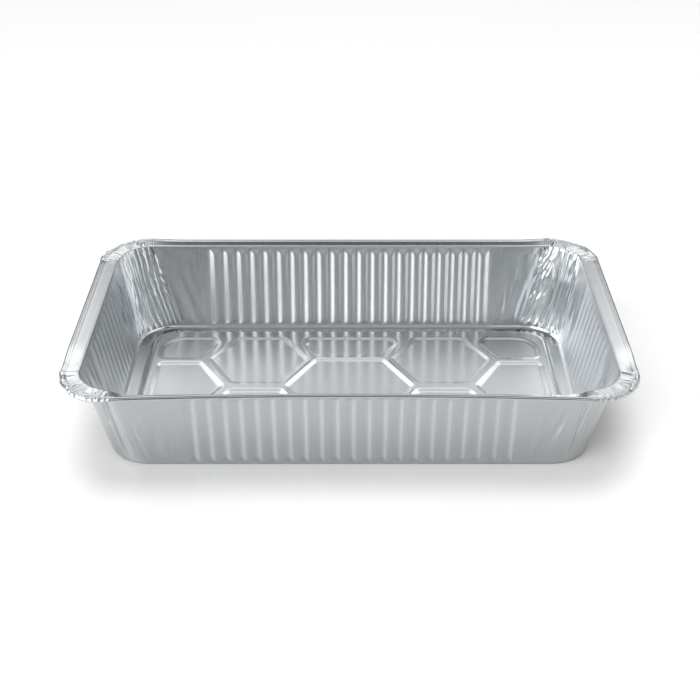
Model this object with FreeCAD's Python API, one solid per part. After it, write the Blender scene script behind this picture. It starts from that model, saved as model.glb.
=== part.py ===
"""Deep rectangular aluminium foil tray, pressed from one sheet.

The sheet runs from the raised honeycomb in the base, over the ledge that the tray
stands on, up the fluted walls and the gathered corners, out along the flange and
round the rolled bead. Both faces of the sheet are built the same way, one foil
thickness apart, and the free edge inside the bead joins them into one solid.
The origin is the centre of the underside, +X runs along the tray and +Z is up.
"""
import FreeCAD, Part
import math
import os

Vector = FreeCAD.Vector

# Sheet and overall height
foil_thickness = 0.1
tray_height = 93.5

# Foot of the walls
base_length = 454.0
base_width = 257.0
base_corner_radius = 40.0

# Mouth, where the walls turn into the flange
mouth_length = 489.5
mouth_width = 287.5
mouth_corner_radius = 35.0

# Flange and rolled bead
flange_width = 12.4
groove_width = 1.2
bead_radius = 2.75
bead_rise = 1.0
bead_start = 150.0
bead_turn = 300.0
bead_facets = 10

# Gathers pressed into each corner, as deep as given at each share of the wall's height
gather_count = 10
gather_depths = [(0.0, 0.0), (0.18, 0.5), (0.6, 1.2), (1.0, 0.8)]
gather_unevenness = 0.35
flange_pleat_height = 0.35

# Ledge that the tray stands on, and the step up to the honeycomb
ledge_width = 13.3
step_width = 5.0
step_height = 5.5
step_corner_facets = 8

# Honeycomb cells, sunk between flat ribs
cell_depth = 1.5
cell_slope_width = 4.0
cell_corner_radius = 9.0
cell_corner_facets = 3
end_border_width = 6.7
side_border_width = 12.2
hexagon_spacing = 190.8
hexagon_width = 107.0
hexagon_flat_side = 54.0
middle_cell_height = 108.0
end_cell_height = 96.0
centre_rib_width = 10.4
level_rib_width = 4.5
slanted_rib_width = 7.0
middle_slanted_rib_width = 3.9
shoulder_run = 8.0
shoulder_height = 12.0
corner_cell_radius = 26.0

# Upright flutes pressed inwards, on the long and the short walls
long_flute_count = 21
long_flute_pitch = 14.47
long_flute_width = 13.1
long_flute_crest = 3.6
long_flute_height = 2.0
short_flute_count = 10
short_flute_pitch = 12.75
short_flute_width = 11.6
short_flute_crest = 3.2
short_flute_height = 1.5
flute_foot_gap = 0.8
flute_mouth_gap = 2.5
flute_foot_slope = 5.0
flute_mouth_slope = 7.0

# Worked out from the sizes above
flange_top = tray_height - bead_rise
wall_lean = math.atan2((mouth_width - base_width) / 2, flange_top - foil_thickness)
spread_per_depth = 1 / math.cos(wall_lean) - math.tan(wall_lean)
corner_stations = 2 * gather_count
inner_border = ledge_width + step_width
field_end = base_length / 2 - inner_border - end_border_width
field_side = base_width / 2 - inner_border - side_border_width
hexagon_height = field_side - centre_rib_width / 2
hexagon_middle = field_side - hexagon_height / 2
hexagon_slant = (hexagon_width - hexagon_flat_side) / hexagon_height
bead_centre_reach = flange_width + groove_width - bead_radius * math.cos(math.radians(bead_start))
quadrants = [(1, 1), (-1, 1), (-1, -1), (1, -1)]


def mirrored(point, quadrant):
    """The same point in another quarter of the tray."""
    return Vector(point.x * quadrant[0], point.y * quadrant[1], point.z)


def flat_face(outline, holes=()):
    """One flat facet of the sheet, with any holes that pressed shapes leave in it."""
    wires = [Part.makePolygon(list(points) + [points[0]]) for points in (outline, *holes)]
    if len(wires) == 1:
        return Part.Face(wires[0])
    return Part.makeFace(wires, "Part::FaceMakerBullseye")


def strip(lower, upper, creased=False):
    """Facets between two rows of points, each cut by a crease where it would twist."""
    faces = []
    for here in range(len(lower) - 1):
        a, b = lower[here], lower[here + 1]
        c, d = upper[here + 1], upper[here]
        if creased:
            faces.append(flat_face([a, b, c]))
            faces.append(flat_face([a, c, d]))
        else:
            faces.append(flat_face([a, b, c, d]))
    return faces


def ring(lower, upper):
    """Facets between two closed rows of points."""
    return strip(lower + lower[:1], upper + upper[:1])


def inset_corners(corners, inset):
    """Corner points of a polygon whose sides have moved inwards, counter-clockwise."""
    moved = []
    for index, corner in enumerate(corners):
        before = (corner - corners[index - 1]).normalize()
        after = (corners[(index + 1) % len(corners)] - corner).normalize()
        inwards = Vector(-before.y, before.x, 0)
        turn = math.atan2(before.x * after.y - before.y * after.x, before.dot(after))
        moved.append(corner + inwards * inset - before * (inset * math.tan(turn / 2)))
    return moved


def rounded_outline(corners, radii, inset, height, facets):
    """Polygon with rounded corners at one height, its sides moved inwards by the inset."""
    points = []
    moved = inset_corners(corners, inset)
    for index, corner in enumerate(moved):
        radius = radii[index] - inset
        before = (corner - moved[index - 1]).normalize()
        after = (moved[(index + 1) % len(moved)] - corner).normalize()
        turn = math.atan2(before.x * after.y - before.y * after.x, before.dot(after))
        start = corner - before * (radius * math.tan(turn / 2))
        centre = start + Vector(-before.y, before.x, 0) * radius
        first = math.atan2(start.y - centre.y, start.x - centre.x)
        for step in range(facets + 1):
            angle = first + turn * step / facets
            points.append(Vector(centre.x + radius * math.cos(angle),
                                 centre.y + radius * math.sin(angle), height))
    return points


def gather(share, station):
    """How far a corner fold stands out from the plain wall: out and in by turns."""
    if station in (0, corner_stations):
        return 0.0
    for (low, low_depth), (high, high_depth) in zip(gather_depths, gather_depths[1:]):
        if low <= share <= high:
            depth = low_depth + (high_depth - low_depth) * (share - low) / (high - low)
    uneven = 1 + gather_unevenness * math.sin(2.3 * station)
    return depth * uneven * (1 if station % 2 else -1)


def outwards(station):
    """Plan direction from a corner's centre at one of its folds."""
    angle = math.radians(90 * station / corner_stations)
    return Vector(math.cos(angle), math.sin(angle), 0)


def wall_point(share, station, depth):
    """Point on a corner's wall, at a share of its height and one foil face."""
    spread = depth * spread_per_depth
    foot_centre = Vector(base_length / 2 - base_corner_radius,
                         base_width / 2 - base_corner_radius, foil_thickness - depth)
    mouth_centre = Vector(mouth_length / 2 - mouth_corner_radius,
                          mouth_width / 2 - mouth_corner_radius, flange_top - depth)
    foot = foot_centre + outwards(station) * (base_corner_radius + spread)
    mouth = mouth_centre + outwards(station) * (mouth_corner_radius + spread)
    return foot + (mouth - foot) * share + outwards(station) * gather(share, station)


def rim_point(reach, height, station):
    """Point on a corner's rim, at a distance out from the mouth."""
    centre = Vector(mouth_length / 2 - mouth_corner_radius,
                    mouth_width / 2 - mouth_corner_radius, height)
    return centre + outwards(station) * (mouth_corner_radius + reach)


def bead_section(depth):
    """Reach and height of each fold of the bead, from the groove round to the free edge."""
    section = []
    for facet in range(bead_facets + 1):
        angle = math.radians(bead_start - bead_turn * facet / bead_facets)
        radius = bead_radius - depth
        section.append((bead_centre_reach + radius * math.cos(angle),
                        tray_height - bead_radius + radius * math.sin(angle)))
    return section


def corner_rows(depth):
    """Rows of points round one corner, from the foot of the wall to the free edge."""
    stations = range(corner_stations + 1)
    rows = [[wall_point(share, station, depth) for station in stations]
            for share, _ in gather_depths]
    pleats = [flange_pleat_height * gather(1.0, station) / gather_depths[-1][1]
              for station in stations]
    rows.append([rim_point(flange_width, flange_top - depth + pleats[station], station)
                 for station in stations])
    for reach, height in bead_section(depth):
        rows.append([rim_point(reach, height, station) for station in stations])
    return rows


def corner_faces(rows):
    """Gathered wall and pleated flange of one corner, and the smooth bead round it."""
    creased_rows = len(gather_depths) + 1
    faces = []
    for index in range(len(rows) - 1):
        faces += strip(rows[index], rows[index + 1], creased=index < creased_rows)
    return faces


def straight_rim_faces(left, right):
    """Flange and bead between two corners, given the end points of their rows."""
    first = len(gather_depths) - 1
    return strip([left[index] for index in range(first, len(left))],
                 [right[index] for index in range(first, len(right))])


def flute(across, foot, mouth, frame, sizes):
    """One flute: its footprint on the wall and its crest, sides and ends."""
    origin, along, up, inwards = frame
    width, crest, height = sizes

    def place(side, rise, stand):
        return origin + along * (across + side) + up * rise + inwards * stand

    low, high = foot + flute_foot_slope, mouth - flute_mouth_slope
    outline = [place(-width / 2, foot, 0), place(width / 2, foot, 0),
               place(width / 2, mouth, 0), place(-width / 2, mouth, 0)]
    top = [place(-crest / 2, low, height), place(crest / 2, low, height),
           place(crest / 2, high, height), place(-crest / 2, high, height)]
    return outline, [flat_face(top)] + ring(outline, top)


def wall_faces(left, right, outer_foot, count, pitch, sizes):
    """Straight wall between two corners, with its row of flutes pressed inwards."""
    levels = len(gather_depths)
    boundary = left[:levels] + right[:levels][::-1]
    origin = (left[0] + right[0]) * 0.5
    top = (left[levels - 1] + right[levels - 1]) * 0.5
    along = (right[0] - left[0]).normalize()
    up = (top - origin).normalize()
    inwards = up.cross(along)
    if inwards.dot(origin) > 0:
        inwards = -inwards
    slide = (outer_foot - origin).dot(up)
    foot = slide + flute_foot_gap
    mouth = slide + (top - origin).Length - flute_mouth_gap
    outlines, faces = [], []
    for index in range(count):
        across = (index - (count - 1) / 2) * pitch
        outline, shapes = flute(across, foot, mouth, (origin, along, up, inwards), sizes)
        outlines.append(outline)
        faces += shapes
    return faces + [flat_face(boundary, outlines)]


def beside_hexagon(side, away, rib):
    """X of the line one rib away from a hexagon's slanted side, at a height from its middle."""
    reach = hexagon_width / 2 - hexagon_slant * away + rib * math.hypot(1, hexagon_slant)
    return hexagon_spacing / 2 + side * reach


def middle_cell():
    """Large cell in the centre of the base, bounded by the four hexagons."""
    top = middle_cell_height / 2
    point = beside_hexagon(-1, hexagon_middle, middle_slanted_rib_width)
    shoulder = beside_hexagon(-1, hexagon_middle - top, middle_slanted_rib_width)
    return [Vector(point, 0, 0), Vector(shoulder, top, 0), Vector(-shoulder, top, 0),
            Vector(-point, 0, 0), Vector(-shoulder, -top, 0), Vector(shoulder, -top, 0)]


def quarter_hexagon():
    """Full hexagon beside the middle cell, in the first quarter of the base."""
    centre = Vector(hexagon_spacing / 2, hexagon_middle, 0)
    across, flat, tall = hexagon_width / 2, hexagon_flat_side / 2, hexagon_height / 2
    return [centre + Vector(across, 0, 0), centre + Vector(flat, tall, 0),
            centre + Vector(-flat, tall, 0), centre + Vector(-across, 0, 0),
            centre + Vector(-flat, -tall, 0), centre + Vector(flat, -tall, 0)]


def back_half_cell():
    """Cut off cell between the middle cell and the long side of the base."""
    inner = middle_cell_height / 2 + level_rib_width
    level = field_side - shoulder_height
    foot = beside_hexagon(-1, inner - hexagon_middle, slanted_rib_width)
    point = beside_hexagon(-1, level - hexagon_middle, slanted_rib_width)
    head = point - shoulder_run
    return [Vector(point, level, 0), Vector(head, field_side, 0), Vector(-head, field_side, 0),
            Vector(-point, level, 0), Vector(-foot, inner, 0), Vector(foot, inner, 0)]


def right_end_cell():
    """Cell in the middle of a short side of the base."""
    top = end_cell_height / 2
    point = beside_hexagon(1, hexagon_middle, slanted_rib_width)
    shoulder = beside_hexagon(1, hexagon_middle - top, slanted_rib_width)
    return [Vector(field_end, -top, 0), Vector(field_end, top, 0), Vector(shoulder, top, 0),
            Vector(point, 0, 0), Vector(shoulder, -top, 0)]


def quarter_corner_cell():
    """Cell that follows the corner of the base, in the first quarter."""
    inner = end_cell_height / 2 + level_rib_width
    level = field_side - shoulder_height
    foot = beside_hexagon(1, inner - hexagon_middle, slanted_rib_width)
    point = beside_hexagon(1, level - hexagon_middle, slanted_rib_width)
    return [Vector(field_end, field_side, 0), Vector(point + shoulder_run, field_side, 0),
            Vector(point, level, 0), Vector(foot, inner, 0), Vector(field_end, inner, 0)]


def honeycomb():
    """Corner points and corner radii of every cell in the base."""
    def plain(corners):
        return corners, [cell_corner_radius] * len(corners)

    def turned(cell, quadrant):
        corners = [mirrored(point, quadrant) for point in cell[0]]
        if quadrant[0] * quadrant[1] > 0:
            return corners, cell[1]
        return corners[::-1], cell[1][::-1]

    end_corner = quarter_corner_cell()
    end_wall = (end_corner[0] - end_corner[-1]).Length
    end_radius = min(corner_cell_radius, end_wall - cell_corner_radius)
    end_radii = [end_radius] + [cell_corner_radius] * (len(end_corner) - 1)
    cells = [plain(middle_cell())]
    cells += [turned(plain(back_half_cell()), side) for side in ((1, 1), (1, -1))]
    cells += [turned(plain(right_end_cell()), side) for side in ((1, 1), (-1, 1))]
    for quadrant in quadrants:
        cells.append(turned(plain(quarter_hexagon()), quadrant))
        cells.append(turned((end_corner, end_radii), quadrant))
    return cells


def base_faces(foot_outline, depth):
    """Ledge, step and honeycomb inside the foot of the walls."""
    ledge_height = foil_thickness - depth
    rib_height = ledge_height + step_height
    corners = [Vector(x * base_length / 2, y * base_width / 2, 0) for x, y in quadrants]
    radii = [base_corner_radius] * len(corners)
    step_foot = rounded_outline(corners, radii, ledge_width, ledge_height, step_corner_facets)
    step_head = rounded_outline(corners, radii, ledge_width + step_width, rib_height,
                                step_corner_facets)
    faces = [flat_face(foot_outline, [step_foot])]
    faces += ring(step_foot, step_head)
    cell_heads = []
    for cell_corners, cell_radii in honeycomb():
        head = rounded_outline(cell_corners, cell_radii, 0, rib_height, cell_corner_facets)
        floor = rounded_outline(cell_corners, cell_radii, cell_slope_width,
                                rib_height - cell_depth, cell_corner_facets)
        cell_heads.append(head)
        faces += ring(head, floor)
        faces.append(flat_face(floor))
    return faces + [flat_face(step_head, cell_heads)]


def foil_side(depth):
    """One face of the foil and its four corners' rows, ending at the free edge."""
    long_sizes = (long_flute_width, long_flute_crest, long_flute_height)
    short_sizes = (short_flute_width, short_flute_crest, short_flute_height)
    rows = corner_rows(depth)
    corners = []
    faces = []
    for quadrant in quadrants:
        placed = [[mirrored(point, quadrant) for point in row] for row in rows]
        corners.append(placed)
        faces += corner_faces(placed)
    foot_outline = []
    for quadrant, placed in zip(quadrants, corners):
        step = 1 if quadrant[0] * quadrant[1] > 0 else -1
        foot_outline += placed[0][::step]
    faces += base_faces(foot_outline, depth)
    outer_foot = wall_point(0, corner_stations, 0)
    outer_end = wall_point(0, 0, 0)
    for one, other, station, foot, count, pitch, sizes in (
            (0, 1, -1, outer_foot, long_flute_count, long_flute_pitch, long_sizes),
            (3, 2, -1, outer_foot, long_flute_count, long_flute_pitch, long_sizes),
            (0, 3, 0, outer_end, short_flute_count, short_flute_pitch, short_sizes),
            (1, 2, 0, outer_end, short_flute_count, short_flute_pitch, short_sizes)):
        left = [row[station] for row in corners[one]]
        right = [row[station] for row in corners[other]]
        mirrored_foot = mirrored(foot, quadrants[one])
        faces += wall_faces(left, right, mirrored_foot, count, pitch, sizes)
        faces += straight_rim_faces(left, right)
    return faces, corners


def free_edge_faces(top_corners, under_corners):
    """Narrow cut edge of the sheet, hidden inside the bead."""
    faces = []
    for top, under in zip(top_corners, under_corners):
        faces += strip(top[-1], under[-1])
    for one, other, station in ((0, 1, -1), (3, 2, -1), (0, 3, 0), (1, 2, 0)):
        faces.append(flat_face([top_corners[one][-1][station], top_corners[other][-1][station],
                                under_corners[other][-1][station],
                                under_corners[one][-1][station]]))
    return faces


def foil_tray():
    """The whole tray as one closed solid."""
    top_faces, top_corners = foil_side(0)
    under_faces, under_corners = foil_side(foil_thickness)
    faces = top_faces + under_faces + free_edge_faces(top_corners, under_corners)
    shell = Part.Shell(faces)
    shell.sewShape()
    solid = Part.Solid(shell)
    if solid.Volume < 0:
        solid.reverse()
    return solid


os.makedirs("parts", exist_ok=True)
tray = foil_tray()
tray.exportStep("parts/tray.step")
print("valid", tray.isValid(), "volume", round(tray.Volume, 1), "mm3")
print("size", tray.BoundBox)
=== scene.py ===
"""Aluminium foil tray: the pressed sheet in full detail, its foil material and the studio.

The sheet is one mesh. Its parts are made in order round the tray: four gathered
corners, four fluted walls with their flange and rolled bead, and the honeycomb base.
They share their edge points, so the surface is whole, and it is thickened at the end.
Sizes are millimetres until the mesh is finished.

Corners and walls are numbered counter-clockwise, seen from above. The corners are the
back right, back left, front left and front right one, and the walls are the back, left,
front and right one. So each wall runs from the corner of its own number to the next.
"""

import math

import bmesh
import bpy
import numpy as np
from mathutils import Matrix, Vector
from mathutils.geometry import tessellate_polygon


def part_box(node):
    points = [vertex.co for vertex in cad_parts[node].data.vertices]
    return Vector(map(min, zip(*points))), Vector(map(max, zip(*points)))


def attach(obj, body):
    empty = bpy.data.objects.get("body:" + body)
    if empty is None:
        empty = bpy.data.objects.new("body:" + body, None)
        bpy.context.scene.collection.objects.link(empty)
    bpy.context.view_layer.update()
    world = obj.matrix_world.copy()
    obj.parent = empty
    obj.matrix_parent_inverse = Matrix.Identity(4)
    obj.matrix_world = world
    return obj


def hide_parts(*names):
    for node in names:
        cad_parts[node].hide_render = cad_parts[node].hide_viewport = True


MM = 0.001
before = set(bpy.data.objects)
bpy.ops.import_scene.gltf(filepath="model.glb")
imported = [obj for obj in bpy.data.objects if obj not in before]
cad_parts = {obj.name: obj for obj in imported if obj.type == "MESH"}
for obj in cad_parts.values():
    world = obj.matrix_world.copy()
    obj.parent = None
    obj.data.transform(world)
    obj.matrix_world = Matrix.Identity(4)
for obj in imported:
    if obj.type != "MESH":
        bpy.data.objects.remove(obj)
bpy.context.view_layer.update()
low_corner, high_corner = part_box("tray")

# Outer size, from the frame
tray_length = (high_corner[0] - low_corner[0]) / MM
tray_width = (high_corner[1] - low_corner[1]) / MM
tray_height = (high_corner[2] - low_corner[2]) / MM

# Corners and walls that differ from the others
back_corners = (0, 1)
long_walls = (0, 2)
back_wall = 0

# Sheet, flange and bead, with the reach of the rows of points across the flange
foil_thickness = 0.1
flange_width = 12.4
flange_reaches = (5.5, 8.0, 10.2, 11.8)
groove_width = 1.2
groove_floor_reach = 0.45
groove_depth = 0.12
bead_radius = 2.75
bead_rise = 1.0
bead_start = 150.0
bead_turn = 300.0
bead_rows = 13
bead_underside = 1.1
bead_centre = flange_width + groove_width - bead_radius * math.cos(math.radians(bead_start))
rim_width = flange_width + groove_width + bead_radius * (1 - math.cos(math.radians(bead_start)))
rim_column_spacing = 9.0
flange_top = tray_height - bead_rise

# Foot and mouth of the walls
base_size = (454.0, 257.0)
base_corner_radius = 40.0
mouth_size = (tray_length - 2 * rim_width, tray_width - 2 * rim_width)
mouth_corner_radius = 35.0
foot_fold = 2.8
mouth_fold = 1.5
fold_rows = 4
ledge_guard = 4.0
flange_guard = 3.0

# Shares of a wall's height outside which its folds leave it plain
relief_foot = 0.02
relief_mouth = 0.985

# Flutes on the long and the short walls: count, pitch, width, crest and height
long_flutes = (21, 14.47, 13.1, 3.4, 2.0)
short_flutes = (10, 12.75, 11.6, 3.0, 1.5)
flute_foot_gap = 3.0
flute_mouth_gap = 2.5
flute_foot_slope = 5.0
flute_mouth_slope = 7.0
flute_softness = 0.16

# Points of a fluted wall: shares of the pitch, heights over a flute's foot, drops from its top
flute_columns = (-0.46, -0.38, -0.25, -0.13, 0.0, 0.13, 0.25, 0.38)
flute_foot_rows = (1.6, 2.6, 3.8, 5.0, 6.2)
flute_mouth_rows = (8.2, 6.8, 5.2, 3.4, 1.6, 0.2)
plain_columns = 20
plain_column_power = 0.8
plain_rows = 5

# Wide shallow waves that every wall has
wall_wave_length = 40.0
wall_wave_fade = 0.2

# Columns and rows of points in the wall of a corner, and the shares of its height they span
back_corner_mesh = (112, 42)
front_corner_mesh = (80, 24)
corner_row_span = (0.04, 0.965)

# Gathers of a corner. The pairs for foot and mouth are the start and width of a soft rise
corner_arc = 58.0
gather_overrun = 0.27
gather_short_side_fade = 0.05
gather_long_side_fade = 0.2
gather_foot = (0.02, 0.11)
gather_mouth = (0.86, 0.14)
gather_mouth_loss = 0.45
front_fold_share = 0.08
main_fold_count = 9
main_fold_depth = 0.95
main_fold_peak = 0.27
main_fold_strength = 0.85
main_fold_limits = (0.2, 1.3)
fine_fold_count = 26
fine_fold_depth = 0.17
fine_fold_peak = 0.35
fine_fold_wander = 1.9
fine_fold_strength = 0.4

# Loose creases in a corner: each train of them has its tilt in radians and its wave length
crease_trains = ((0.3, 6.0), (0.55, 8.0), (0.1, 4.5))
crumple_depth = 0.25
crumple_peak = 0.4
crumple_wander = 0.9
crumple_wander_size = (8.0, 16.0)
crumple_side = (0.6, 0.25)
crumple_foot = (0.2, 0.25)
crumple_patch_share = 0.15
crumple_patch_level = 0.2
crumple_patch_seed = 7.0
crumple_pleat_loss = 0.45

# Sharp creases in the front corners: place along the corner at foot and mouth, ends, depth
corner_creases = {
    2: (
        (0.685, 0.785, 0.12, 0.95, 2.0),
        (0.66, 0.80, 0.68, 0.97, 1.6),
        (0.62, 0.70, 0.50, 0.97, 1.8),
    ),
    3: (
        (0.24, 0.16, 0.12, 0.9, 1.5),
        (0.33, 0.27, 0.35, 0.97, 1.6),
        (0.45, 0.40, 0.10, 0.97, 1.4),
        (0.18, 0.10, 0.45, 0.97, 1.2),
        (0.39, 0.35, 0.3, 0.8, 1.1),
    ),
}
crease_half_width = 0.026
crease_fade = 0.08
crease_seed = 40.0

# Pleats in the flange of a corner: count, depth, share of it at the mouth, share of crinkles
back_pleats = (24, 1.3, 0.5, 0.7)
front_pleats = (13, 1.1, 0.75, 0.08)
pleat_peak = 0.36
pleat_strength = 0.6
pleat_limits = (0.1, 1.4)
pleat_side_fade = 0.04
pleat_deepening = (0.45, 0.4)
pleat_seed = 3.0
pleat_lift = 0.8
pleat_push = 0.5
crinkle_count = 47
crinkle_start = (0.55, 0.25)

# Buckles in the plain parts of a wall, which fan out of the corner's mouth
buckle_depth = 1.3
buckle_far_end = 62.0
buckle_far_fade = 30.0
buckle_near_fade = 8.0
buckle_foot_fade = 0.3
buckle_mouth_fade = 0.5
buckle_fan = 2.8
buckle_fan_height = 1.02
buckle_wander_size = 18.0
buckle_seed = 1.9
small_buckle_share = 0.4
small_buckle_rate = 2.6

# Smooth noise in the folds: its strength, and its waves along the wall and up or outwards
noise_kinds = {
    "slow_wander": (0.55, 3.0, 2.1),
    "quick_wander": (0.18, 9.0, 6.0),
    "main_strength": (0.6, 8.0, 2.6),
    "fine_wander": (1.0, 4.0, 3.0),
    "fine_strength": (1.1, 5.0, 3.5),
    "crumple_patches": (1.0, 2.5, 2.5),
    "crease_wander": (0.012, 9.0, 0.0),
    "slow_pleat_wander": (0.9, 6.0, 0.0),
    "quick_pleat_wander": (0.5, 11.0, 3.0),
    "pleat_strength": (0.8, 19.0, 2.5),
    "crinkle_wander": (3.0, 9.0, 7.0),
    "buckle_wander": (0.3, 1.0, 4.0),
    "wall_waves": (0.12, 1.0, 2.5),
}
noise_seed = 11
noise_cells = 64
first_corner_seed = 1.3
corner_seed_step = 3.7

# How the hand-bent sides depart from straight. A pair is the start and width of a soft rise
bend_start_height = 25.0
front_mouth_drop = 6.0
front_bead_bow = 5.0
front_mouth_bow = 2.5
front_bead_lift = 2.0
front_bend_end = (192.0, 30.0)
back_flange_droop = 0.9
back_bead_press = 0.85
back_bend_end = (185.0, 30.0)
front_corner_sag = 2.2
front_corner_start = (205.0, 30.0)
front_corner_side_start = (70.0, 30.0)
left_groove_shift = 2.2

# Flattened face of the front bead: its lean in degrees, and its share of the bead's radius
front_face_lean = 17.0
front_face_share = 0.87
front_face_end = (195.0, 15.0)

# Base
ledge_width = 13.3
step_width = 5.0
step_height = 5.5
step_facets = 14
cell_depth = 1.5
cell_slope_width = 4.0
cell_corner_radius = 9.0
cell_facets = 8
corner_cell_radius = 26.0
end_border_width = 6.7
side_border_width = 12.2
hexagon_spacing = 190.8
hexagon_width = 107.0
hexagon_flat_side = 54.0
middle_cell_height = 108.0
end_cell_height = 96.0
centre_rib_width = 10.4
level_rib_width = 4.5
slanted_rib_width = 7.0
middle_slanted_rib_width = 3.9
shoulder_run = 8.0
shoulder_height = 12.0
slope_rows = 6
slope_margin = 0.25
slope_softness = 0.22
edge_guard = 1.2
least_radius = 0.5

# Field of the honeycomb and its hexagons, from the sizes above
field_end = base_size[0] / 2 - (ledge_width + step_width) - end_border_width
field_side = base_size[1] / 2 - (ledge_width + step_width) - side_border_width
hexagon_height = field_side - centre_rib_width / 2
hexagon_middle = field_side - hexagon_height / 2
hexagon_slant = (hexagon_width - hexagon_flat_side) / hexagon_height

# Signs of x and y in each quarter of the tray
quarters = ((1, 1), (-1, 1), (-1, -1), (1, -1))

# How smooth the foil is stretched, from nought for plain rolled foil to one, by wall and corner
straight_rim_gloss = (0.6, 0.6, 1.0, 0.6)
corner_rim_gloss = (0.5, 0.5, 0.12, 0.12)
slope_gloss = 0.35
buckle_gloss = 0.5
gather_gloss_fade = 0.08

# Foil: colour, share of it that the outer side keeps as painted shade, width of that shade's blend,
# and roughness in and between the streaks
foil_colour = (0.68, 0.70, 0.715)
outer_side_shade_share = 0.77
outer_shade_blend = 0.3
foil_roughness = (0.26, 0.36)

# Anisotropy of plain and of stretched foil, and the share of its roughness that the latter keeps
foil_grain = (0.9, 0.2)
stretched_roughness_share = 0.5
grain_tangent = (0.0, 0.3, 1.0)

# Streaks and waves in the foil: a bump is its strength and its depth in metres
streak_scale = (800.0, 16.0, 16.0)
streak_detail = 4.0
streak_bump = (0.03, 0.00005)
wave_scale = 28.0
wave_detail = 2.0
wave_bump = (0.25, 0.0004)

# Table top: size in metres, colour and shine
table_size = 60
table_colour = (0.6, 0.6, 0.6, 1)
table_roughness = 0.22
table_specular = 0.25

# Studio: direction and height of each soft panel in degrees, its inner and outer angle, its strength
side_panels = {
    "left": (210, 34, 2, 30, 3.5),
    "left_low": (212, 9, 2, 38, 4.0),
    "front_left": (240, 34, 2, 30, 1.0),
    "front": (-80, 30, 2, 20, 1.3),
    "front_right": (-42, 9, 2, 26, 1.5),
    "right": (0, 8, 2, 30, 1.1),
    "right_high": (-20, 34, 2, 30, 1.0),
    "overhead": (90, 80, 8, 42, 0.6),
    "behind_low": (90, 2, 4, 15, 0.3),
}
back_panels = {
    "back_left": (128, 34, 2, 30, 2.3),
    "behind": (90, 50, 6, 25, 1.1),
    "back_right": (52, 34, 2, 30, 2.3),
}
back_panel_foot = (18, 27)
straight_up = (0, 90)
room_light = 0.03

# Lights on the table, unseen in the foil: direction, height and width in degrees, strength
table_lights = {
    "table_overhead": (110, 83, 32, 2.05),
    "table_front": (-105, 55, 40, 1.3),
}

# Camera: place in metres, degrees that it looks down, lens and sensor
camera_place = (0.00052, -1.0963, 0.7007)
camera_tilt = 30.78
camera_lens = 65.64
camera_sensor = 36

lattice = np.random.default_rng(noise_seed).random((noise_cells, noise_cells)) * 2 - 1


def smooth_noise(x, y):
    """Smooth noise between -1 and 1, one wave to a unit."""
    x, y = np.broadcast_arrays(np.asarray(x, float), np.asarray(y, float))
    column, row = np.floor(x).astype(int), np.floor(y).astype(int)
    across, up = x - column, y - row
    across = across * across * (3 - 2 * across)
    up = up * up * (3 - 2 * up)
    corner = lattice[column % noise_cells, row % noise_cells]
    right = lattice[(column + 1) % noise_cells, row % noise_cells]
    above = lattice[column % noise_cells, (row + 1) % noise_cells]
    far = lattice[(column + 1) % noise_cells, (row + 1) % noise_cells]
    lower = corner * (1 - across) + right * across
    upper = above * (1 - across) + far * across
    return lower * (1 - up) + upper * up


def noise(kind, across, up, across_seed=0.0, up_seed=0.0):
    """Smooth noise of one of the named kinds; the seeds move it."""
    strength, across_waves, up_waves = noise_kinds[kind]
    return strength * smooth_noise(across * across_waves + across_seed, up * up_waves + up_seed)


def fold_wave(phase, peak=0.5):
    """Creased wave between -1 and 1 with its crest at one share of each turn."""
    turn = phase - np.floor(phase)
    return np.where(turn < peak, 2 * turn / peak - 1, 1 - 2 * (turn - peak) / (1 - peak))


def ramp(value):
    """Nought to one with soft ends."""
    value = np.clip(value, 0, 1)
    return value * value * (3 - 2 * value)


def fade_in(value, start, width):
    """Nought up to the start, and one from a width further on."""
    return ramp((value - start) / width)


def fade_out(value, end, width):
    """One until a width before the end, and nought from the end on."""
    return ramp((end - value) / width)


def pressed_ramp(value, softness):
    """Straight ramp from nought to one whose two bends are rounded."""
    def area(x):
        x = np.asarray(x, float)
        return np.where(x <= 0, 0, np.where(x < 1, x * x / 2, x - 0.5))
    return (area(value + softness) - area(value - softness)) / (2 * softness)


class Sheet:
    """Points and faces of the sheet as it grows, and the gloss of the foil at each point."""

    def __init__(self):
        self.points = []
        self.gloss = []
        self.faces = []

    def add(self, points, gloss=0.0):
        """Adds points and says how glossy the foil is there; returns their numbers."""
        points = np.asarray(points, float)
        flat = points.reshape(-1, 3)
        first = len(self.points)
        self.points.extend(flat.tolist())
        self.gloss.extend(np.broadcast_to(gloss, points.shape[:-1]).reshape(-1).tolist())
        return np.arange(first, first + len(flat)).reshape(points.shape[:-1])

    def grid(self, numbers, closed=False):
        """Four-sided faces between rows of numbers."""
        numbers = np.asarray(numbers)
        if closed:
            numbers = np.concatenate([numbers, numbers[:, :1]], axis=1)
        corners = (numbers[:-1, :-1], numbers[:-1, 1:], numbers[1:, 1:], numbers[1:, :-1])
        self.faces.extend(np.stack(corners, -1).reshape(-1, 4).tolist())

    def zip(self, one, one_places, other, other_places):
        """Triangles between two rows that have different numbers of points."""
        here, there = 0, 0
        while here < len(one) - 1 or there < len(other) - 1:
            move_one = there == len(other) - 1 or (
                here < len(one) - 1 and one_places[here + 1] <= other_places[there + 1])
            if move_one:
                self.faces.append([int(one[here]), int(one[here + 1]), int(other[there])])
                here += 1
            else:
                self.faces.append([int(one[here]), int(other[there + 1]), int(other[there])])
                there += 1

    def fill(self, loops):
        """Flat faces inside the first loop of numbers and outside the others."""
        outlines = [[Vector(self.points[number]) for number in loop] for loop in loops]
        numbers = [int(number) for loop in loops for number in loop]
        for triangle in tessellate_polygon(outlines):
            self.faces.append([numbers[corner] for corner in triangle])


sheet = Sheet()


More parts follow.
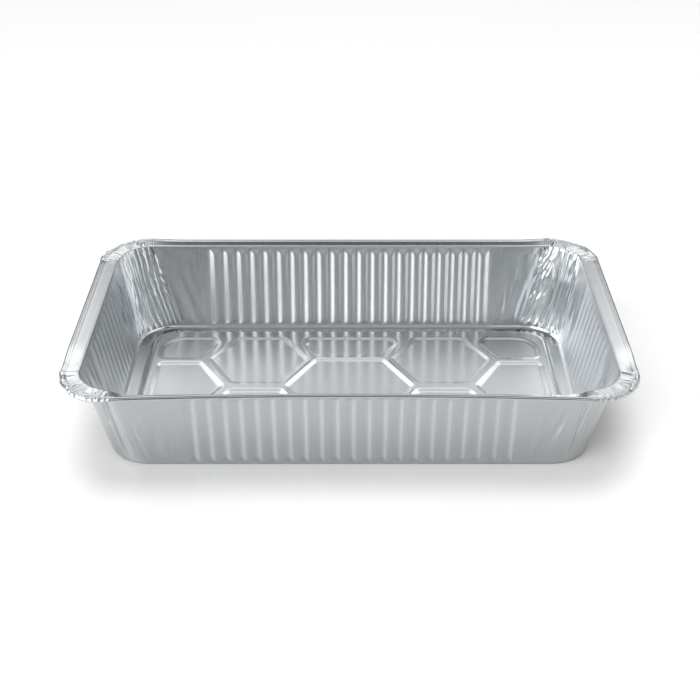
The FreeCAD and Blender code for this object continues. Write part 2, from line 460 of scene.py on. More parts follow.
def columns_at(foot_plan, mouth_plan, outwards):
    """Upright lines of the wall, each with its foot, mouth and outward direction."""
    count = len(foot_plan)
    foot = np.column_stack([foot_plan, np.full(count, foil_thickness)])
    mouth = np.column_stack([mouth_plan, np.full(count, flange_top)])
    out = np.column_stack([outwards, np.zeros(count)])
    return foot, mouth, out


def bend(start, corner, end):
    """Rounded fold from start to end, tangent to both sides of the corner."""
    shares = np.linspace(0, 1, fold_rows)[:, None, None]
    return start * (1 - shares) ** 2 + corner * 2 * shares * (1 - shares) + end * shares ** 2


def section(columns, shares):
    """Rows of wall points from the ledge to the flange, with each row's share of the height."""
    foot, mouth, out = columns
    rise = mouth - foot
    length = np.linalg.norm(rise, axis=1, keepdims=True)
    up = rise / length
    foot_rows = bend(foot - out * foot_fold, foot, foot + up * foot_fold)
    mouth_rows = bend(mouth - up * mouth_fold, mouth, mouth + out * mouth_fold)
    wall_rows = foot + rise * np.asarray(shares)[:, None, None]
    rows = np.concatenate([(foot - out * ledge_guard)[None], foot_rows, wall_rows, mouth_rows])
    tall = float(np.mean(length))
    foot_places = np.linspace(-foot_fold, foot_fold, fold_rows) / tall
    mouth_places = 1 + np.linspace(-mouth_fold, mouth_fold, fold_rows) / tall
    return rows, np.concatenate([[-ledge_guard / tall], foot_places, shares, mouth_places])


def wall_normals(columns):
    """Direction from each column towards the inside of the tray, square to the wall."""
    foot, mouth, out = columns
    rise = mouth - foot
    along = np.column_stack([-out[:, 1], out[:, 0], np.zeros(len(out))])
    normal = np.cross(rise, along)
    normal /= np.linalg.norm(normal, axis=1, keepdims=True)
    outwards = np.sum(normal * out, axis=1, keepdims=True) > 0
    return np.where(outwards, -normal, normal)


def rim_section():
    """Reach and height of each row of flange and bead, from just outside the mouth."""
    flange = [(reach, flange_top) for reach in (flange_guard,) + flange_reaches]
    groove = [(flange_width + groove_floor_reach, flange_top - groove_depth)]
    angles = np.radians(bead_start - np.linspace(0, bead_turn, bead_rows))
    bead = []
    for angle in angles:
        rise = math.sin(angle) * (bead_radius if math.sin(angle) > 0 else bead_underside)
        bead.append((bead_centre + bead_radius * math.cos(angle), tray_height - bead_radius + rise))
    return np.array(flange + groove + bead)


def rim_rows(mouth, out):
    """Rows of flange and bead outside a row of mouth points."""
    profile = rim_section()
    rows = mouth[None] + out[None] * profile[:, 0][:, None, None]
    rows[:, :, 2] = profile[:, 1][:, None]
    return rows


def corner_plan(corner, angles):
    """Columns of one corner at the given angles round the tray."""
    sides = np.array(quarters[corner])
    out = np.column_stack([np.cos(angles), np.sin(angles)])
    foot_centre = sides * (np.array(base_size) / 2 - base_corner_radius)
    mouth_centre = sides * (np.array(mouth_size) / 2 - mouth_corner_radius)
    return columns_at(foot_centre + out * base_corner_radius,
                      mouth_centre + out * mouth_corner_radius, out)


def corner_seed(corner):
    """Shift of the noise that gives each corner its own folds."""
    return corner_seed_step * corner + first_corner_seed


def from_short_wall(turn, corner):
    """Share of the way round a corner from its short wall to its long wall."""
    return turn if corner % 2 == 0 else 1 - turn


def main_folds(turn, share, wander, seed):
    """Depth of the long pleats, each of its own strength."""
    strength = main_fold_strength + noise("main_strength", turn, share, seed * 3)
    pleats = fold_wave(turn * main_fold_count + wander, main_fold_peak)
    return pleats * main_fold_depth * np.clip(strength, *main_fold_limits)


def fine_folds(turn, share, wander, seed):
    """Depth of the finer pleats, which come and go."""
    strength = ramp(fine_fold_strength + noise("fine_strength", turn, share, seed))
    phase = turn * fine_fold_count + fine_fold_wander * wander
    phase = phase + noise("fine_wander", turn, share, 0, seed)
    return fold_wave(phase, fine_fold_peak) * fine_fold_depth * strength


def loose_creases(turn, share, corner):
    """Trains of creases on top of each other, which lean to the short wall as they rise."""
    arc, height = turn * corner_arc, share * tray_height
    arc_size, height_size = crumple_wander_size
    lean = 1 if corner % 2 == 0 else -1
    total = np.zeros_like(turn * share)
    for number, (tilt, length) in enumerate(crease_trains):
        line = (arc * math.cos(tilt) + lean * height * math.sin(tilt)) / length
        stray = smooth_noise(arc / arc_size + number, height / height_size + corner_seed(corner))
        total += fold_wave(line + crumple_wander * stray, crumple_peak)
    return total


def crumpled_share(turn, share, corner):
    """Share of loose creases: most at the long wall above the foot, and a few patches elsewhere."""
    across = from_short_wall(turn, corner)
    patches = noise("crumple_patches", turn, share, corner_seed(corner) * 2, crumple_patch_seed)
    beside_wall = fade_in(across, *crumple_side) * fade_in(share, *crumple_foot)
    return beside_wall + crumple_patch_share * ramp(crumple_patch_level + patches)


def gathers(turn, share, corner):
    """Depth of the corner's folds: long pleats, finer pleats between them and loose creases."""
    seed = corner_seed(corner)
    across = from_short_wall(turn, corner)
    sides = fade_in(across, 0, gather_short_side_fade)
    sides = sides * fade_out(across, 1 + gather_overrun, gather_long_side_fade)
    ends = fade_in(share, *gather_foot) * (1 - gather_mouth_loss * fade_in(share, *gather_mouth))
    wander = noise("slow_wander", turn, share, seed) + noise("quick_wander", turn, share, 0, seed)
    crumpled = crumpled_share(turn, share, corner)
    depth = main_folds(turn, share, wander, seed) * (1 - crumple_pleat_loss * crumpled)
    depth += fine_folds(turn, share, wander, seed)
    depth += loose_creases(turn, share, corner) * crumple_depth * crumpled
    return depth * sides * ends * (1 if corner in back_corners else front_fold_share)


def front_creases(turn, share, corner):
    """Depth of the few sharp creases on a front corner, which is smooth between them."""
    depth = np.zeros_like(turn * share)
    for foot_turn, mouth_turn, low, high, deep in corner_creases[corner]:
        line = foot_turn + (mouth_turn - foot_turn) * share
        line = line + noise("crease_wander", share, 0, crease_seed * foot_turn, corner)
        along = fade_in(share, low, crease_fade) * fade_out(share, high, crease_fade)
        depth += deep * along * np.clip(1 - np.abs(turn - line) / crease_half_width, 0, 1)
    return depth


def rim_pleats(turn, reach, corner):
    """Lift of the radial pleats in a corner's flange and bead, with fine crinkles on the bead."""
    seed = corner_seed(corner)
    count, deep, inner_share, crinkle_share = back_pleats if corner in back_corners else front_pleats
    wander = noise("slow_pleat_wander", turn, reach, seed, pleat_seed)
    wander = wander + noise("quick_pleat_wander", turn, reach, 0, seed)
    strength = np.clip(pleat_strength + noise("pleat_strength", turn, reach, seed), *pleat_limits)
    pleats = fold_wave(turn * count + wander, pleat_peak) * strength
    crinkles = fold_wave(turn * crinkle_count + noise("crinkle_wander", turn, reach, 0, seed))
    sides = fade_in(turn, 0, pleat_side_fade) * fade_out(turn, 1, pleat_side_fade)
    deepening = inner_share + (1 - inner_share) * fade_in(reach, *pleat_deepening)
    crinkling = crinkle_share * fade_in(reach, *crinkle_start)
    return sides * deep * (pleats * deepening + crinkles * crinkling)


def corner_wall(corner, columns, turn, row_count):
    """Rows of a corner's wall with its folds, and each row's share of the height."""
    rows, places = section(columns, np.linspace(*corner_row_span, row_count))
    across, up = np.meshgrid(turn, places)
    share = np.clip(up, 0, 1)
    depth = gathers(across, share, corner)
    if corner in corner_creases:
        depth = depth + front_creases(across, share, corner)
    depth = depth * (up > relief_foot)
    return rows + wall_normals(columns)[None] * depth[:, :, None], places


def corner_rim(corner, columns, turn):
    """Rows of a corner's flange and bead with their pleats."""
    _, mouth, out = columns
    rows = rim_rows(mouth, out)
    across, reach = np.meshgrid(turn, rim_section()[:, 0] / rim_width)
    lift = rim_pleats(across, reach, corner)
    rows[:, :, 2] += lift * pleat_lift
    rows += out[None] * (lift * pleat_push * reach ** 3)[:, :, None]
    return rows


def add_corner(corner):
    """One corner of the tray from ledge to free edge; returns its numbers and rows' places."""
    column_count, row_count = back_corner_mesh if corner in back_corners else front_corner_mesh
    turn = np.linspace(0, 1, column_count)
    columns = corner_plan(corner, (corner + turn) * math.pi / 2)
    rows, places = corner_wall(corner, columns, turn, row_count)
    gloss = 0.0
    if corner in back_corners:
        gloss = fade_in(from_short_wall(turn, corner), 0, gather_gloss_fade)[None]
    wall_numbers = sheet.add(rows, gloss)
    rim_numbers = sheet.add(corner_rim(corner, columns, turn), corner_rim_gloss[corner])
    sheet.grid(np.concatenate([wall_numbers, rim_numbers]))
    return wall_numbers, rim_numbers, places


class WallPlan:
    """Where a straight wall lies: its middle, direction and half length at foot and mouth."""

    def __init__(self, wall):
        facing = np.array([(wall + 1) * math.pi / 2])
        start_foot, start_mouth, out = corner_plan(wall, facing)
        end_foot, end_mouth, _ = corner_plan((wall + 1) % 4, facing)
        self.foot_end = np.linalg.norm(end_foot - start_foot) / 2
        self.mouth_end = np.linalg.norm(end_mouth - start_mouth) / 2
        self.foot_middle = (start_foot + end_foot)[0, :2] / 2
        self.mouth_middle = (start_mouth + end_mouth)[0, :2] / 2
        self.direction = (end_foot - start_foot)[0, :2] / (2 * self.foot_end)
        self.out = out[:, :2]

    def columns(self, foot_along, mouth_along):
        """Columns at places along the foot and the mouth."""
        return columns_at(self.foot_middle + foot_along[:, None] * self.direction,
                          self.mouth_middle + mouth_along[:, None] * self.direction,
                          np.repeat(self.out, len(foot_along), axis=0))


def flute_places(flutes):
    """Positions along a wall of the columns that carry its flutes."""
    count, pitch = flutes[0], flutes[1]
    centres = (np.arange(count) - (count - 1) / 2) * pitch
    places = [centre + np.array(flute_columns) * pitch for centre in centres]
    return np.concatenate(places + [[centres[-1] - flute_columns[0] * pitch]])


def wall_places(plan, flutes):
    """Places of a wall's columns along its foot and its mouth, with plain parts at both ends."""
    fluted = flute_places(flutes)
    plain = np.linspace(0, 1, plain_columns + 2)[1:-1] ** plain_column_power
    foot_plain = plan.foot_end * plain + fluted[-1] * (1 - plain)
    mouth_plain = plan.mouth_end * plain + fluted[-1] * (1 - plain)
    foot_along = np.concatenate([-foot_plain[::-1], fluted, foot_plain])
    mouth_along = np.concatenate([-mouth_plain[::-1], fluted, mouth_plain])
    return foot_along, mouth_along


def flute_ends(tall):
    """Shares of the height of a wall at which its flutes start and end."""
    return flute_foot_gap / tall, 1 - flute_mouth_gap / tall


def wall_shares(tall):
    """Shares of the height at which a wall has its rows, which are close at the flutes' ends."""
    low, high = flute_ends(tall)
    foot_rows = low + np.array(flute_foot_rows) / tall
    mouth_rows = high - np.array(flute_mouth_rows) / tall
    between = np.linspace(foot_rows[-1], mouth_rows[0], plain_rows + 2)[1:-1]
    return np.concatenate([foot_rows, between, mouth_rows])


def flute_relief(along, up, tall, flutes):
    """Depth of the pressed flutes, with rounded bends and sloping ends."""
    count, pitch, width, crest, height = flutes
    low, high = flute_ends(tall)
    from_centre = np.abs((along + count * pitch / 2) % pitch - pitch / 2)
    inside = np.abs(along) < count * pitch / 2
    slope_width = (width - crest) / 2
    profile = pressed_ramp((width / 2 - from_centre) / slope_width, flute_softness) * inside
    foot_slope = pressed_ramp((up - low) * tall / flute_foot_slope, flute_softness)
    mouth_slope = pressed_ramp((high - up) * tall / flute_mouth_slope, flute_softness)
    return height * np.minimum(profile, np.minimum(foot_slope, mouth_slope))


def buckle_reach(from_corner):
    """Strength of the buckles at a distance from the corner: only the plain parts have them."""
    far_side = fade_out(from_corner, buckle_far_end, buckle_far_fade)
    return far_side * fade_in(from_corner, 0, buckle_near_fade)


def buckles(along, mouth_end, share, wall):
    """Shallow creases that fan out of the corner's mouth into the plain part of a wall."""
    seed = wall * buckle_seed
    from_corner = mouth_end - np.abs(along)
    fan = np.arctan2(from_corner, (buckle_fan_height - share) * tray_height)
    wander = noise("buckle_wander", from_corner / buckle_wander_size, share, 0, seed)
    phase = fan * buckle_fan + seed + np.sign(along) + wander
    waves = fold_wave(phase) + small_buckle_share * fold_wave(phase * small_buckle_rate + seed)
    ends = fade_in(share, 0, buckle_foot_fade) * fade_out(share, 1, buckle_mouth_fade)
    return buckle_depth * waves * buckle_reach(from_corner) * ends


def wall_waves(along, up, wall):
    """Depth of the wide shallow waves of a wall."""
    ends = fade_in(up, 0, wall_wave_fade) * fade_out(up, 1, wall_wave_fade)
    return noise("wall_waves", along / wall_wave_length, up, wall) * ends


def overrun(along, mouth_end, share, wall):
    """Depth of the gathers that run on from both corners into a long wall."""
    start_turn = 1 + (mouth_end + along) / corner_arc
    end_turn = -(mouth_end - along) / corner_arc
    return gathers(start_turn, share, wall) + gathers(end_turn, share, wall + 1)


def back_wall_gloss(along, mouth_end):
    """Gloss of the back wall, where its gathers and buckles have stretched it."""
    from_corner = mouth_end - np.abs(along)
    gathered = ramp(1 - from_corner / (corner_arc * gather_overrun))
    return np.maximum(buckle_gloss * buckle_reach(from_corner), gathered)


def add_straight_rim(wall, plan, start_rim, end_rim):
    """Flange and bead outside a wall; returns the numbers and places of its inner row."""
    count = int(2 * plan.mouth_end / rim_column_spacing)
    along = np.linspace(-plan.mouth_end, plan.mouth_end, count)[1:-1]
    _, mouth, out = plan.columns(along, along)
    numbers = sheet.add(rim_rows(mouth, out), straight_rim_gloss[wall])
    numbers = np.concatenate([start_rim[:, -1:], numbers, end_rim[:, :1]], axis=1)
    sheet.grid(numbers)
    return numbers[0], np.concatenate([[-plan.mouth_end], along, [plan.mouth_end]])


def add_wall(wall, start_corner, end_corner):
    """One fluted wall with its flange and bead, joined to both corners; returns its foot row."""
    plan = WallPlan(wall)
    flutes = long_flutes if wall in long_walls else short_flutes
    foot_along, mouth_along = wall_places(plan, flutes)
    columns = plan.columns(foot_along, mouth_along)
    foot, mouth, _ = columns
    tall = float(np.linalg.norm((mouth - foot)[len(foot) // 2]))
    rows, places = section(columns, wall_shares(tall))
    along, up = np.meshgrid(mouth_along, places)
    share = np.clip(up, 0, 1)
    folded = (up > relief_foot) * (up < relief_mouth)
    depth = flute_relief(along, up, tall, flutes)
    depth += buckles(along, plan.mouth_end, share, wall) * folded
    depth += wall_waves(along, up, wall)
    if wall in long_walls:
        depth += overrun(along, plan.mouth_end, share, wall) * folded
    rows = rows + wall_normals(columns)[None] * depth[:, :, None]
    numbers = sheet.add(rows, back_wall_gloss(along, plan.mouth_end) if wall == back_wall else 0.0)
    sheet.grid(numbers)

    start_wall, start_rim, start_places = start_corner
    end_wall, end_rim, end_places = end_corner
    sheet.zip(start_wall[:, -1], start_places, numbers[:, 0], places)
    sheet.zip(numbers[:, -1], places, end_wall[:, 0], end_places)
    rim_row, rim_places = add_straight_rim(wall, plan, start_rim, end_rim)
    top_row = np.concatenate([start_wall[-1:, -1], numbers[-1], end_wall[-1:, 0]])
    top_places = np.concatenate([[-plan.mouth_end], mouth_along, [plan.mouth_end]])
    sheet.zip(top_row, top_places, rim_row, rim_places)
    return numbers[0]


def side_before(corners, index):
    """Direction of the side before a corner, and the angle that the corner turns."""
    before = corners[index] - corners[index - 1]
    after = corners[(index + 1) % len(corners)] - corners[index]
    before, after = before / np.linalg.norm(before), after / np.linalg.norm(after)
    return before, math.atan2(before[0] * after[1] - before[1] * after[0], before @ after)


def inset_outline(corners, inset):
    """Corner points of a counter-clockwise polygon whose sides have moved inwards."""
    moved = []
    for index, corner in enumerate(corners):
        before, turn = side_before(corners, index)
        inwards = np.array([-before[1], before[0]])
        moved.append(corner + inwards * inset - before * inset * math.tan(turn / 2))
    return moved


def rounded_outline(corners, radii, inset, height, facets):
    """Closed row of points round a polygon with rounded corners."""
    moved = inset_outline(corners, inset)
    points = []
    for index, corner in enumerate(moved):
        before, turn = side_before(moved, index)
        radius = max(radii[index] - inset, least_radius)
        inwards = np.array([-before[1], before[0]])
        centre = corner - before * radius * math.tan(turn / 2) + inwards * radius
        first = math.atan2(-inwards[1], -inwards[0])
        for angle in first + turn * np.linspace(0, 1, facets + 1):
            x = centre[0] + radius * math.cos(angle)
            y = centre[1] + radius * math.sin(angle)
            points.append((x, y, height))
    return np.array(points)


def add_slope(corners, radii, start, width, top, drop, facets):
    """Pressed slope round an outline; returns its outer and inner rows of numbers."""
    shares = np.linspace(-slope_margin, 1 + slope_margin, slope_rows)
    insets = start + shares * width
    insets = [insets[0] - edge_guard, *insets, insets[-1] + edge_guard]
    heights = [top, *(top - drop * pressed_ramp(shares, slope_softness)), top - drop]
    rows = [rounded_outline(corners, radii, inset, height, facets)
            for inset, height in zip(insets, heights)]
    gloss = np.array([0] + [slope_gloss] * slope_rows + [0])
    numbers = sheet.add(np.array(rows), gloss[:, None])
    sheet.grid(numbers, closed=True)
    return numbers[0], numbers[-1]


def beside_hexagon(side, away, rib):
    """Place along the tray of a rib's far edge beside a hexagon, away from its widest part."""
    reach = hexagon_width / 2 - hexagon_slant * away + rib * math.hypot(1, hexagon_slant)
    return hexagon_spacing / 2 + side * reach


def middle_cell():
    """Corners of the large cell in the middle."""
    top = middle_cell_height / 2
    point = beside_hexagon(-1, hexagon_middle, middle_slanted_rib_width)
    shoulder = beside_hexagon(-1, hexagon_middle - top, middle_slanted_rib_width)
    return [(point, 0), (shoulder, top), (-shoulder, top),
            (-point, 0), (-shoulder, -top), (shoulder, -top)]


def hexagon_cell():
    """Corners of one of the four hexagons."""
    centre, low = hexagon_spacing / 2, hexagon_middle - hexagon_height / 2
    flat, half = hexagon_flat_side / 2, hexagon_width / 2
    return [(centre + half, hexagon_middle), (centre + flat, field_side), (centre - flat, field_side),
            (centre - half, hexagon_middle), (centre - flat, low), (centre + flat, low)]


def cut_off_cell():
    """Corners of a cell between two hexagons, cut off by the long side."""
    inner, level = middle_cell_height / 2 + level_rib_width, field_side - shoulder_height
    foot = beside_hexagon(-1, inner - hexagon_middle, slanted_rib_width)
    point = beside_hexagon(-1, level - hexagon_middle, slanted_rib_width)
    head = point - shoulder_run
    return [(point, level), (head, field_side), (-head, field_side),
            (-point, level), (-foot, inner), (foot, inner)]


def end_cell():
    """Corners of the cell in the middle of a short side."""
    top = end_cell_height / 2
    point = beside_hexagon(1, hexagon_middle, slanted_rib_width)
    shoulder = beside_hexagon(1, hexagon_middle - top, slanted_rib_width)
    return [(field_end, -top), (field_end, top), (shoulder, top), (point, 0), (shoulder, -top)]


def corner_cell():
    """Corners of a cell in a corner of the base, with the rounded one first."""
    inner, level = end_cell_height / 2 + level_rib_width, field_side - shoulder_height
    foot = beside_hexagon(1, inner - hexagon_middle, slanted_rib_width)
    point = beside_hexagon(1, level - hexagon_middle, slanted_rib_width)
    return [(field_end, field_side), (point + shoulder_run, field_side), (point, level),
            (foot, inner), (field_end, inner)]


def mirrored(cell, places, first_radius=cell_corner_radius):
    """A cell in each of the given quarters: its corners counter-clockwise, and their radii."""
    radii = [first_radius] + [cell_corner_radius] * (len(cell) - 1)
    cells = []
    for side_x, side_y in places:
        corners = [np.array([side_x * x, side_y * y]) for x, y in cell]
        step = 1 if side_x * side_y > 0 else -1
        cells.append((corners[::step], radii[::step]))
    return cells


def honeycomb():
    """Corners and radii of every cell in the base."""
    back_right, back_left, _, front_right = quarters
    return (mirrored(middle_cell(), [back_right]) +
            mirrored(hexagon_cell(), quarters) +
            mirrored(cut_off_cell(), [back_right, front_right]) +
            mirrored(end_cell(), [back_right, back_left]) +
            mirrored(corner_cell(), quarters, corner_cell_radius))


def add_base(ledge_outline):
    """Ledge, step and honeycomb inside the walls."""
    corners = [np.array(sides) * base_size / 2 for sides in quarters]
    radii = [base_corner_radius] * 4
    step_outer, step_inner = add_slope(corners, radii, ledge_width, step_width,
                                       foil_thickness, -step_height, step_facets)
    sheet.fill([ledge_outline, step_outer])
    rib_loops = [step_inner]
    for cell_corners, cell_radii in honeycomb():
        cell_top, cell_floor = add_slope(cell_corners, cell_radii, 0, cell_slope_width,
                                         foil_thickness + step_height, cell_depth, cell_facets)
        rib_loops.append(cell_top)
        sheet.fill([cell_floor])
    sheet.fill(rib_loops)


def bent_share(z):
    """Nought in the lower walls and one at the flange: only the upper part was bent."""
    return fade_in(z, bend_start_height, flange_top - bend_start_height)


def flange_share(beyond_mouth):
    """Share of the way across the flange, from the mouth to the bead."""
    return np.clip(beyond_mouth / (rim_width - bead_radius), 0, 1)


def front_bow(x, y, z):
    """Shifts in y and z of the front side: bowed in, mouth dropped and flange tipped up."""
    front = (y < 0) * bent_share(z)
    share = flange_share(-y - mouth_size[1] / 2)
    along = 1 - fade_in(np.abs(x), *front_bend_end)
    bow = np.clip(1 - (x / (mouth_size[0] / 2)) ** 2, 0, 1)
    inwards = front_mouth_bow + (front_bead_bow - front_mouth_bow) * share
    upwards = front_bead_lift * bow * share - front_mouth_drop * along * (1 - share)
    return front * bow * inwards, front * upwards


def flat_front_bead(x, y, z):
    """Shift in y that presses the front bead's face flat, leaning under the bead."""
    lean = math.radians(front_face_lean)
    above_centre = z - tray_height + bead_radius
    face = (front_face_share * bead_radius - above_centre * math.sin(lean)) / math.cos(lean)
    beyond = np.maximum(-y - mouth_size[1] / 2 - bead_centre - face, 0)
    along = 1 - fade_in(np.abs(x), *front_face_end)
    return beyond * (above_centre > -bead_underside) * along


def back_droop(x, y, z):
    """How far the back flange droops and the back bead is pressed down."""
    straight = (y > 0) * bent_share(z) * (1 - fade_in(np.abs(x), *back_bend_end))
    droop = flange_share(y - mouth_size[1] / 2) * back_flange_droop
    return straight * (droop + back_bead_press * np.maximum(z - flange_top, 0))


def front_corner_droop(x, y, z):
    """How far the rim sags at the front corners."""
    x_reach = np.maximum(np.abs(x) - mouth_size[0] / 2 + mouth_corner_radius, 0)
    y_reach = np.maximum(-y - mouth_size[1] / 2 + mouth_corner_radius, 0)
    rim_reach = np.hypot(x_reach, y_reach) - mouth_corner_radius
    place = fade_in(np.abs(x), *front_corner_start) * fade_in(-y, *front_corner_side_start)
    return bent_share(z) * front_corner_sag * np.clip(rim_reach / rim_width, 0, 1) * place


def left_groove_push(x, z):
    """Shift in x of the groove on the left flange, towards the inside."""
    reach = np.clip(-x - mouth_size[0] / 2, 0, rim_width)
    return left_groove_shift * np.sin(math.pi * ramp(reach / rim_width)) ** 2 * bent_share(z)


def hand_bent(points):
    """The whole sheet after handling."""
    x, y, z = points[:, 0], points[:, 1], points[:, 2]
    bow_y, bow_z = front_bow(x, y, z)
    x_shift = left_groove_push(x, z)
    y_shift = bow_y + flat_front_bead(x, y, z)
    z_shift = bow_z - back_droop(x, y, z) - front_corner_droop(x, y, z)
    return np.column_stack([x + x_shift, y + y_shift, z + z_shift])


def build_sheet():
    """Fills the sheet with all its parts, in order round the tray."""
    corners = [add_corner(corner) for corner in range(4)]
    ledge_outline = []
    for wall in range(4):
        foot_row = add_wall(wall, corners[wall], corners[(wall + 1) % 4])
        corner_foot_row = corners[wall][0][0]
        ledge_outline += [*corner_foot_row, *foot_row]
    add_base(ledge_outline)


def turn_faces_up(mesh):
    """Makes all faces agree, with the middle of the base facing up."""
    work = bmesh.new()
    work.from_mesh(mesh)
    bmesh.ops.recalc_face_normals(work, faces=work.faces)
    middle = min(work.faces, key=lambda face: face.calc_center_median().length)
    if middle.normal.z < 0:
        bmesh.ops.reverse_faces(work, faces=work.faces)
    work.to_mesh(mesh)
    work.free()


def make_tray():
    """Builds the sheet, bends it as it was handled and gives it its thickness."""
    build_sheet()
    points = hand_bent(np.array(sheet.points)) * MM
    mesh = bpy.data.meshes.new("tray_foil")
    mesh.from_pydata(points.tolist(), [], sheet.faces)
    gloss = mesh.attributes.new("gloss", "FLOAT", "POINT")
    gloss.data.foreach_set("value", sheet.gloss)
    turn_faces_up(mesh)
    mesh.shade_smooth()
    tray = bpy.data.objects.new("tray_foil", mesh)
    bpy.context.collection.objects.link(tray)
    thicken = tray.modifiers.new("sheet_thickness", "SOLIDIFY")
    thicken.thickness = foil_thickness * MM
    thicken.offset = -1
    return tray


class Shader:
    """Node tree that starts empty, with short ways to add nodes and join them."""

    def __init__(self, owner):
        owner.use_nodes = True
        self.nodes, self.links = owner.node_tree.nodes, owner.node_tree.links
        self.nodes.clear()

    def add(self, kind, inputs=None, **settings):
        """New node; each of its inputs is a plain value or the output that feeds it."""
        node = self.nodes.new(kind)
        for name, value in settings.items():
            setattr(node, name, value)
        for name, value in (inputs or {}).items():
            if isinstance(value, bpy.types.NodeSocket):
                self.links.new(value, node.inputs[name])
            else:
                node.inputs[name].default_value = value
        return node

    def calculate(self, operation, *values):
        """Output of a sum or product of plain values or outputs."""
        return self.add("ShaderNodeMath", dict(enumerate(values)), operation=operation).outputs[0]

    def combine(self, operation, output, *vectors):
        """One output of a calculation with vectors."""
        node = self.add("ShaderNodeVectorMath", dict(enumerate(vectors)), operation=operation)
        return node.outputs[output]

    def mapped(self, value, start, end, low=0.0, high=1.0, kind="LINEAR"):
        """Output that goes from start to end while the value goes from low to high."""
        inputs = {"Value": value, "From Min": low, "From Max": high, "To Min": start, "To Max": end}
        return self.add("ShaderNodeMapRange", inputs, interpolation_type=kind).outputs["Result"]


def foil_colour_with_shade(shader, place):
    """Colour of the foil, with painted shade: darker where its normal points out of the tray."""
    scale = (2 / (tray_length * MM), 2 / (tray_width * MM), 0)
    outwards = shader.combine("MULTIPLY_ADD", "Vector", place, scale, (0, 0, -2))
    normal = shader.add("ShaderNodeNewGeometry").outputs["True Normal"]
    facing_out = shader.combine("DOT_PRODUCT", "Value", normal, outwards)
    # Painted shade: the colour of the outward and downward facing side is darkened, standing in for
    # less light there
    painted_shade = shader.mapped(facing_out, 1.0, outer_side_shade_share, -outer_shade_blend, outer_shade_blend)
    tone = shader.add("ShaderNodeVectorMath", {0: foil_colour, "Scale": painted_shade}, operation="SCALE")
    return tone.outputs["Vector"]


def foil_streaks(shader, place):
    """Fine streaks of the rolling, which run across the tray."""
    stretch = shader.add("ShaderNodeMapping", {"Vector": place, "Scale": streak_scale})
    inputs = {"Vector": stretch.outputs["Vector"], "Scale": 1.0, "Detail": streak_detail}
    return shader.add("ShaderNodeTexNoise", inputs).outputs["Fac"]


def foil_smoothness(shader, streaks, gloss):
    """Roughness that varies with the streaks and is less where the foil is stretched."""
    rough = shader.mapped(streaks, *foil_roughness)
    kept = shader.mapped(gloss, 1.0, stretched_roughness_share)
    return shader.calculate("MULTIPLY", rough, kept)


def foil_normal(shader, place, streaks):
    """Normal with soft waves in the foil and the relief of the streaks on top."""
    inputs = {"Vector": place, "Scale": wave_scale, "Detail": wave_detail}
    waves = shader.add("ShaderNodeTexNoise", inputs).outputs["Fac"]
    strength, distance = wave_bump
    inputs = {"Strength": strength, "Distance": distance, "Height": waves}
    wavy = shader.add("ShaderNodeBump", inputs).outputs["Normal"]
    strength, distance = streak_bump
    inputs = {"Strength": strength, "Distance": distance, "Height": streaks, "Normal": wavy}
    return shader.add("ShaderNodeBump", inputs).outputs["Normal"]


def foil_material():
    """Bright rolled aluminium foil: fine rolling streaks, soft waves and painted shade on the outer
    side.
    """
    material = bpy.data.materials.new("rolled_foil")
    shader = Shader(material)
    place = shader.add("ShaderNodeTexCoord").outputs["Object"]
    gloss = shader.add("ShaderNodeAttribute", attribute_name="gloss").outputs["Fac"]
    streaks = foil_streaks(shader, place)
    tangent = shader.add("ShaderNodeCombineXYZ", dict(zip("XYZ", grain_tangent)))
    foil = shader.add("ShaderNodeBsdfPrincipled", {
        "Metallic": 1.0,
        "Base Color": foil_colour_with_shade(shader, place),
        "Roughness": foil_smoothness(shader, streaks, gloss),
        "Anisotropic": shader.mapped(gloss, *foil_grain),
        "Tangent": tangent.outputs["Vector"],
        "Normal": foil_normal(shader, place, streaks),
    })
    shader.add("ShaderNodeOutputMaterial", {"Surface": foil.outputs["BSDF"]})
    return material


def table_material():
    """Pale table top that the lights bring to white, and that keeps the shadow."""
    material = bpy.data.materials.new("white_table")
    shader = Shader(material)
    surface = shader.add("ShaderNodeBsdfPrincipled", {
        "Base Color": table_colour,
        "Roughness": table_roughness,
        "Specular IOR Level": table_specular,
    })
    shader.add("ShaderNodeOutputMaterial", {"Surface": surface.outputs["BSDF"]})
    return material


def make_table():
    """Large table top under the tray."""
    bpy.ops.mesh.primitive_plane_add(size=table_size, location=(0, 0, 0))
    table = bpy.context.object
    table.name = "table_top"
    table.data.materials.append(table_material())


def direction(azimuth, height):
    """Direction towards a place in the studio, from two angles in degrees."""
    across = math.cos(math.radians(height))
    return Vector((across * math.cos(math.radians(azimuth)),
                   across * math.sin(math.radians(azimuth)),
                   math.sin(math.radians(height))))


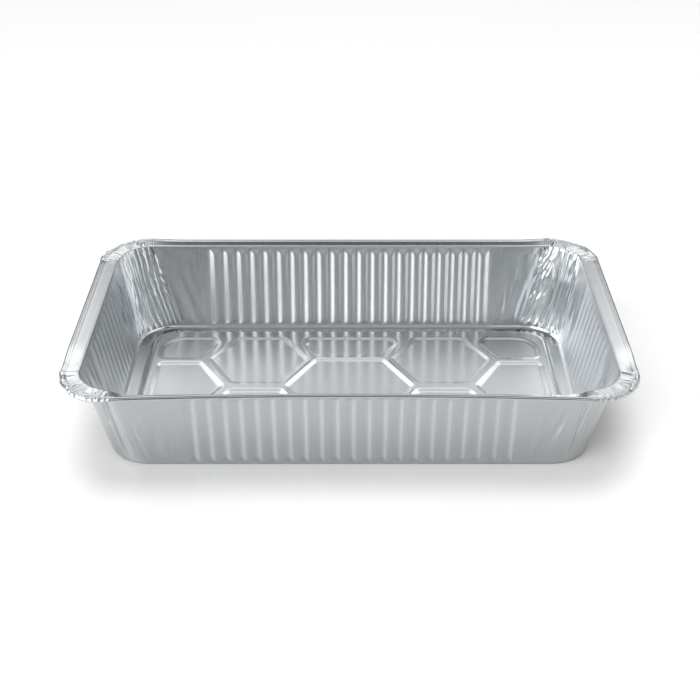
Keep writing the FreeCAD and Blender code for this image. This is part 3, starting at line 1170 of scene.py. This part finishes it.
def panels(shader, place, group):
    """Sum of the light of a group of soft panels."""
    total = 0.0
    for azimuth, height, inner, outer, strength in group.values():
        closeness = shader.combine("DOT_PRODUCT", "Value", place, direction(azimuth, height))
        edge, core = math.cos(math.radians(outer)), math.cos(math.radians(inner))
        light = shader.mapped(closeness, 0.0, strength, edge, core, "SMOOTHSTEP")
        total = shader.calculate("ADD", total, light)
    return total


def make_world():
    """Plain white to the camera, and for everything else a studio with soft panels."""
    world = bpy.data.worlds.new("studio")
    bpy.context.scene.world = world
    shader = Shader(world)
    place = shader.add("ShaderNodeTexCoord").outputs["Generated"]
    upwards = shader.combine("DOT_PRODUCT", "Value", place, direction(*straight_up))
    low, high = (math.sin(math.radians(angle)) for angle in back_panel_foot)
    above_foot = shader.mapped(upwards, 0.0, 1.0, low, high, "SMOOTHSTEP")
    raised = shader.calculate("MULTIPLY", panels(shader, place, back_panels), above_foot)
    standing = panels(shader, place, side_panels)
    studio = shader.calculate("ADD", room_light, shader.calculate("ADD", raised, standing))
    to_camera = shader.add("ShaderNodeLightPath").outputs["Is Camera Ray"]
    seen = shader.add("ShaderNodeMix", {"Factor": to_camera, "A": studio, "B": 1.0})
    background = shader.add("ShaderNodeBackground", {"Strength": seen.outputs["Result"]})
    shader.add("ShaderNodeOutputWorld", {"Surface": background.outputs["Background"]})


def make_table_lights():
    """Very soft lights that only the table shows, for its shadow."""
    for name, (azimuth, height, width, strength) in table_lights.items():
        lamp = bpy.data.lights.new(name, "SUN")
        lamp.angle = math.radians(width)
        lamp.energy = strength
        holder = bpy.data.objects.new(name, lamp)
        holder.rotation_euler = direction(azimuth, height).to_track_quat("Z", "Y").to_euler()
        holder.visible_glossy = False
        bpy.context.collection.objects.link(holder)


def make_camera():
    """Camera in front of the tray, looking down on it."""
    camera = bpy.data.cameras.new("camera")
    camera.sensor_width = camera_sensor
    camera.lens = camera_lens
    holder = bpy.data.objects.new("camera", camera)
    holder.location = camera_place
    holder.rotation_euler = (math.radians(90 - camera_tilt), 0, 0)
    bpy.context.collection.objects.link(holder)
    bpy.context.scene.camera = holder


tray = make_tray()
tray.data.materials.append(foil_material())
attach(tray, "root")
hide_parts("tray")
make_table()
make_world()
make_table_lights()
make_camera()
bpy.context.scene.view_settings.view_transform = "Standard"
